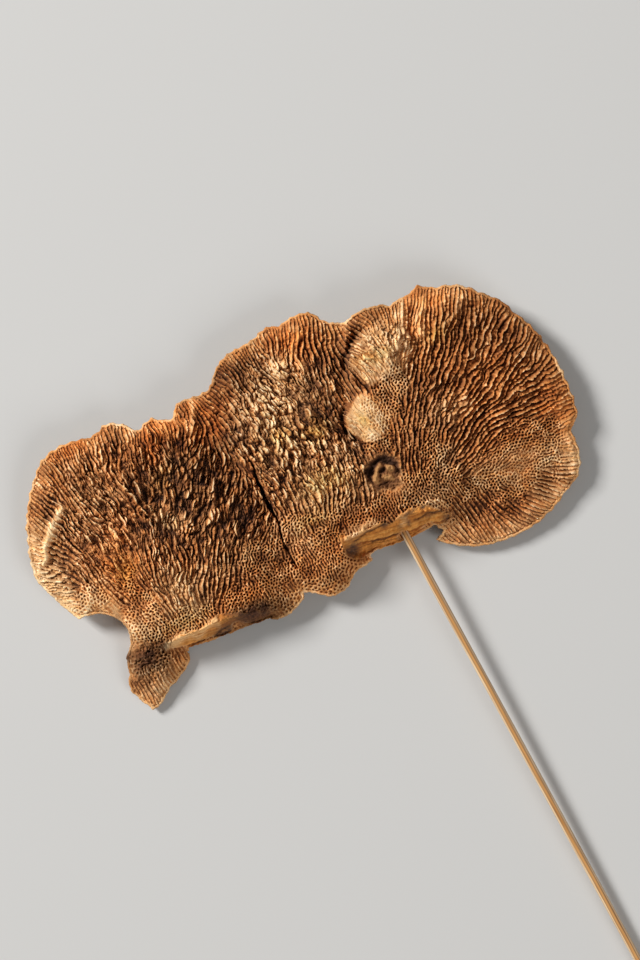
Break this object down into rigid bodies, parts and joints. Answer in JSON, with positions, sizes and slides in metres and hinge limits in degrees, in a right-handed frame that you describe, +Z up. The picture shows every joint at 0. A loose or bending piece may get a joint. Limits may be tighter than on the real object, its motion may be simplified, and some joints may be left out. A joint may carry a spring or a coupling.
{
  "type": "bracket fungus",
  "caption": "Dried bracket fungus grown as overlapping gilled lobes, with a cut root and round knobs, on a thin straight wooden stick; it lies on its caps with the gills up.",
  "frame": {"origin": "centre of the bounding box of fungus and stick, on the surface they lie on", "axes": "+Y from the free end of the stick to the wavy margin of the fungus, +Z up out of the gills, +X along the line where the fungus grew on its trunk"},
  "size_m": [0.2376, 0.3742, 0.0267],
  "materials": {
    "dried_flesh": "dry, fibrous and matte, orange brown with cream gill edges",
    "stick_wood": "plain split wood, satin"
  },
  "bodies": {
    "root": {"fungus": "dried_flesh", "stick": "stick_wood"}
  },
  "joints": []
}
